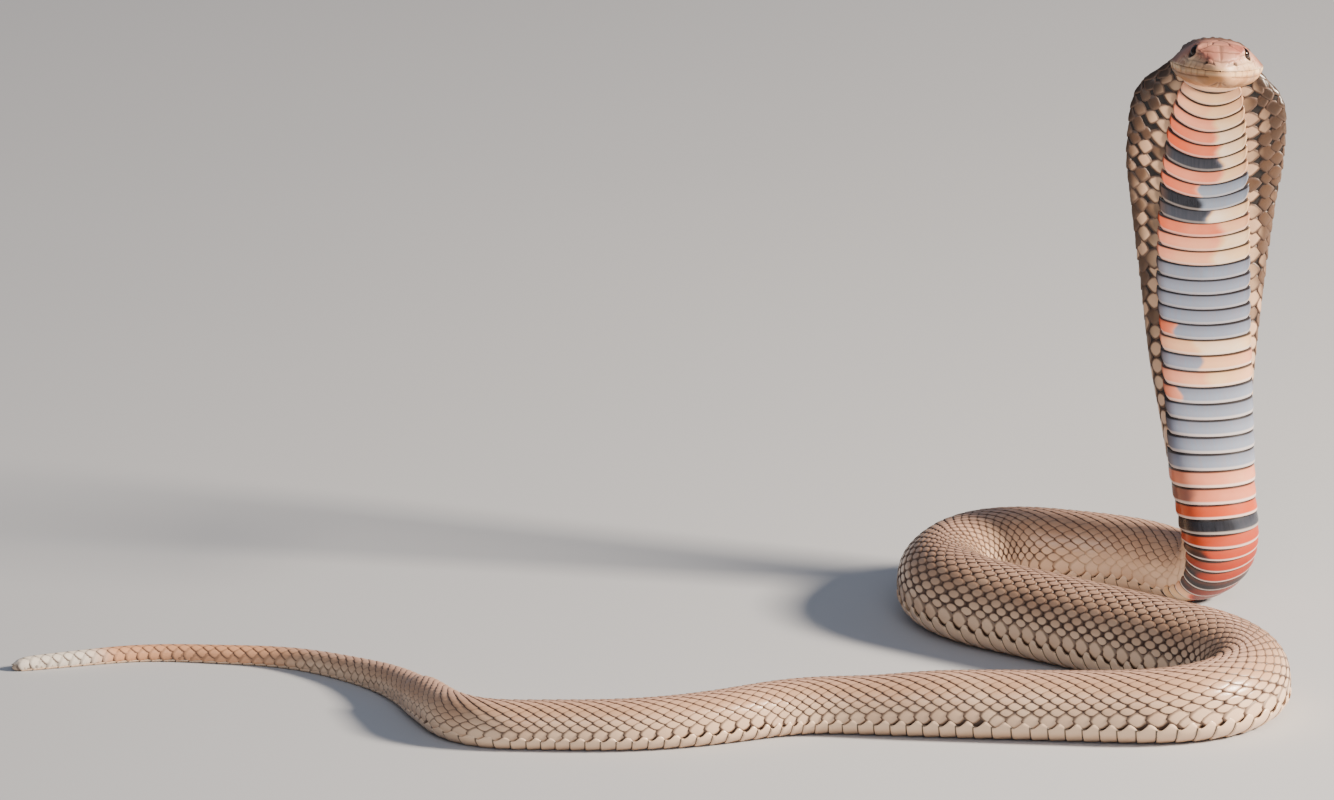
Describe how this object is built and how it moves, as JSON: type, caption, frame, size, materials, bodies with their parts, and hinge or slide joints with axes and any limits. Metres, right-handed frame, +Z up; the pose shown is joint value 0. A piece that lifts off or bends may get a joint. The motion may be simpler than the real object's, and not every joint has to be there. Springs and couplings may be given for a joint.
{
  "type": "cobra model",
  "caption": "Life-size still model of a Mozambique spitting cobra, reared up with its hood spread and its body lying in an S on the ground.",
  "frame": {"origin": "on the ground, under the middle of the whole animal's box", "axes": "+Z up, +X from the tail tip towards the coils and the head's end, -Y the way the head and the belly of the hood face"},
  "size_m": [0.4858, 0.2526, 0.2326],
  "materials": {
    "body_scales": "satin overlapping scales, pinkish tan with dark brown skin between them",
    "tail_scales": "satin scales, pale pinkish tan with fine dark edges",
    "belly_scutes": "smooth broad scutes in salmon, orange and slate-grey bands with pale rims",
    "head_shields": "smooth large shields, rose brown on the crown and cream on the lips",
    "eye": "wet, near black"
  },
  "bodies": {
    "root": {"head": "head_shields", "eye_left": "eye", "eye_right": "eye", "hood": "belly_scutes", "neck_column": "belly_scutes", "neck_base": "belly_scutes", "body_third_run": "body_scales", "body_left_bend_back": "body_scales", "body_left_bend_front": "body_scales", "body_second_run": "body_scales", "body_right_bend_back": "body_scales", "body_right_bend_front": "body_scales", "body_front_run": "body_scales", "body_rear_run": "body_scales", "tail": "tail_scales"}
  },
  "joints": []
}
